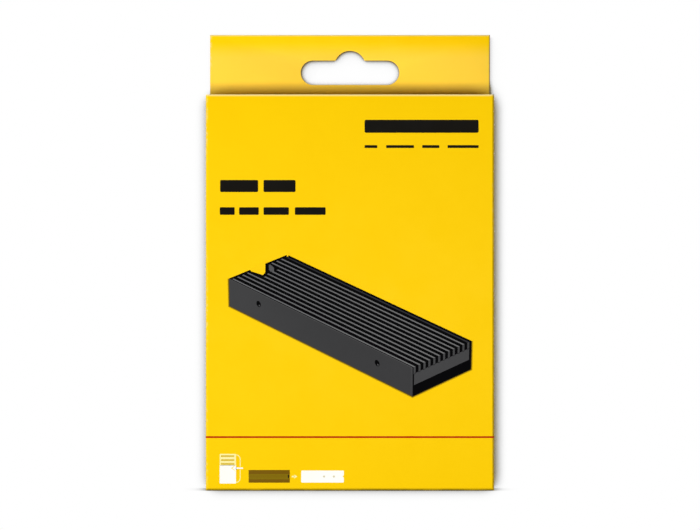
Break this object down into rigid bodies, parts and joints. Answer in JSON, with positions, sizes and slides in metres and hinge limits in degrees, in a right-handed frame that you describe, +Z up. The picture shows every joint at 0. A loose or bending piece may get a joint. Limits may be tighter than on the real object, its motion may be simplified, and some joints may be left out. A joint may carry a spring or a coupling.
{
  "type": "retail hang tab carton",
  "caption": "Yellow board carton with tuck lids at both ends and a doubled hang tab with a display slot, holding a finned heat sink set for a solid state drive.",
  "frame": {"origin": "middle of the underside that the carton stands on", "axes": "+X to the right of the front panel, the front panel faces -Y, +Z up towards the hang tab"},
  "size_m": [0.091, 0.032, 0.1447],
  "materials": {
    "printed_board": "satin",
    "black_aluminium": "satin",
    "grey_pad": "matte",
    "black_steel": "satin",
    "handle_plastic": "satin",
    "bright_steel": "satin",
    "leaflet_paper": "matte"
  },
  "bodies": {
    "carton": {"carton_sleeve": "printed_board", "heatsink_base": "black_aluminium", "heatsink_cover": "black_aluminium", "lower_thermal_pad": "grey_pad", "upper_thermal_pad": "grey_pad", "side_screws": "black_steel", "screwdriver_handle": "handle_plastic", "screwdriver_shaft": "bright_steel", "instruction_leaflet": "leaflet_paper"},
    "top_lid": {"top_tuck_lid": "printed_board"},
    "bottom_lid": {"bottom_tuck_lid": "printed_board"}
  },
  "joints": [
    {"name": "top_lid_hinge", "type": "hinge", "parent": "carton", "child": "top_lid", "pos_m": [0, 0.01485, 0.125], "axis": [-1, 0, 0], "range_deg": [0, 90]},
    {"name": "bottom_lid_hinge", "type": "hinge", "parent": "carton", "child": "bottom_lid", "pos_m": [0, 0.016, 0], "axis": [1, 0, 0], "range_deg": [0, 110]}
  ]
}
